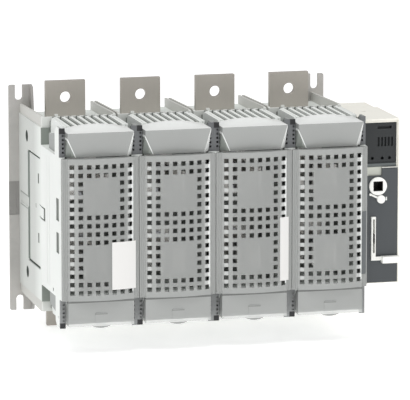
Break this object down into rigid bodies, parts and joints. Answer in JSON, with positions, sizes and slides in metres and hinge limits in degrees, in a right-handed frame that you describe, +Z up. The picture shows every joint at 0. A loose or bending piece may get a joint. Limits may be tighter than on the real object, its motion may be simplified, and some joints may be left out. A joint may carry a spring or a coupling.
{
  "type": "fuse switch disconnector",
  "caption": "Multi-pole fuse switch disconnector with hinged clear grille covers, busbar terminals top and bottom, and a front-operated mechanism at its right side.",
  "frame": {"origin": "on the mounting panel's face, in the middle of the four-pole block", "axes": "+X to the right across the poles, +Y back into the panel, +Z up; the front looks along -Y"},
  "size_m": [0.4355, 0.2447, 0.3026],
  "materials": {
    "case_white": "light grey-white moulded polyester",
    "bay_white": "light grey-white moulded polyester",
    "clear_smoke": "clear smoke-tinted polycarbonate",
    "tinned_copper": "dull tin plate on copper",
    "silvered_copper": "silver plate on copper",
    "contact_copper": "copper with silver tips",
    "insulator_tan": "fibre-filled moulding",
    "zinc_steel": "bright zinc plate",
    "spring_steel": "dark spring steel",
    "galvanised_steel": "galvanised sheet",
    "case_cream": "cream moulded plastic",
    "face_grey": "dark grey satin plastic",
    "block_black": "black moulded plastic",
    "part_white": "white moulded plastic"
  },
  "bodies": {
    "frame": {"base_1": "case_white", "base_2": "case_white", "base_3": "case_white", "base_4": "case_white", "fuse_bay_1": "bay_white", "fuse_bay_2": "bay_white", "fuse_bay_3": "bay_white", "fuse_bay_4": "bay_white", "guard_1": "clear_smoke", "guard_2": "clear_smoke", "guard_3": "clear_smoke", "guard_4": "clear_smoke", "terminal_top_1": "tinned_copper", "terminal_top_2": "tinned_copper", "terminal_top_3": "tinned_copper", "terminal_top_4": "tinned_copper", "terminal_bottom_1": "tinned_copper", "terminal_bottom_2": "tinned_copper", "terminal_bottom_3": "tinned_copper", "terminal_bottom_4": "tinned_copper", "jaw_top_1": "silvered_copper", "jaw_top_2": "silvered_copper", "jaw_top_3": "silvered_copper", "jaw_top_4": "silvered_copper", "jaw_bottom_1": "silvered_copper", "jaw_bottom_2": "silvered_copper", "jaw_bottom_3": "silvered_copper", "jaw_bottom_4": "silvered_copper", "hinge_pins": "zinc_steel", "jaw_springs": "spring_steel", "jaw_screws": "zinc_steel", "terminal_screws": "zinc_steel", "rail_left": "galvanised_steel", "rail_right": "galvanised_steel", "rail_screws": "zinc_steel", "tie_rods": "zinc_steel", "rod_nuts": "zinc_steel", "mechanism_case": "case_cream", "mechanism_face": "face_grey", "auxiliary_block": "block_black", "shaft_bearing": "insulator_tan"},
    "cover_1": {"fuse_cover_1": "clear_smoke"},
    "cover_2": {"fuse_cover_2": "clear_smoke"},
    "cover_3": {"fuse_cover_3": "clear_smoke"},
    "cover_4": {"fuse_cover_4": "clear_smoke"},
    "contact_drive": {"contact_carrier_1": "insulator_tan", "contact_carrier_2": "insulator_tan", "contact_carrier_3": "insulator_tan", "contact_carrier_4": "insulator_tan", "contact_bridges_1": "contact_copper", "contact_bridges_2": "contact_copper", "contact_bridges_3": "contact_copper", "contact_bridges_4": "contact_copper", "drive_bar": "zinc_steel"},
    "operating_shaft": {"shaft_hub": "part_white", "cam_drum": "zinc_steel"},
    "lock_tab": {"lock_tab": "part_white"},
    "interlock_lever": {"interlock_lever": "part_white"}
  },
  "joints": [
    {"name": "cover_hinge_1", "type": "hinge", "parent": "frame", "child": "cover_1", "pos_m": [-0.141, -0.216, -0.108], "axis": [1, 0, 0], "range_deg": [0, 90]},
    {"name": "cover_hinge_2", "type": "hinge", "parent": "frame", "child": "cover_2", "pos_m": [-0.047, -0.216, -0.108], "axis": [1, 0, 0], "range_deg": [0, 90]},
    {"name": "cover_hinge_3", "type": "hinge", "parent": "frame", "child": "cover_3", "pos_m": [0.047, -0.216, -0.108], "axis": [1, 0, 0], "range_deg": [0, 90]},
    {"name": "cover_hinge_4", "type": "hinge", "parent": "frame", "child": "cover_4", "pos_m": [0.141, -0.216, -0.108], "axis": [1, 0, 0], "range_deg": [0, 90]},
    {"name": "shaft_turn", "type": "hinge", "parent": "frame", "child": "operating_shaft", "pos_m": [0.2076, -0.1, 0.0323], "axis": [0, 1, 0], "range_deg": [0, 90]},
    {"name": "contact_slide", "type": "slide", "parent": "frame", "child": "contact_drive", "axis": [0, 1, 0], "range_m": [0, 0.014]},
    {"name": "lock_pull", "type": "slide", "parent": "frame", "child": "lock_tab", "axis": [0, -1, 0], "range_m": [0, 0.015]},
    {"name": "interlock_turn", "type": "hinge", "parent": "frame", "child": "interlock_lever", "pos_m": [0.2113, -0.213, 0.0163], "axis": [0, -1, 0], "range_deg": [0, 25], "stiffness_Nm_per_rad": 0.02}
  ],
  "couplings": [
    {"joint": "shaft_turn", "follows": "contact_slide", "rad_per_m": 112.19}
  ]
}
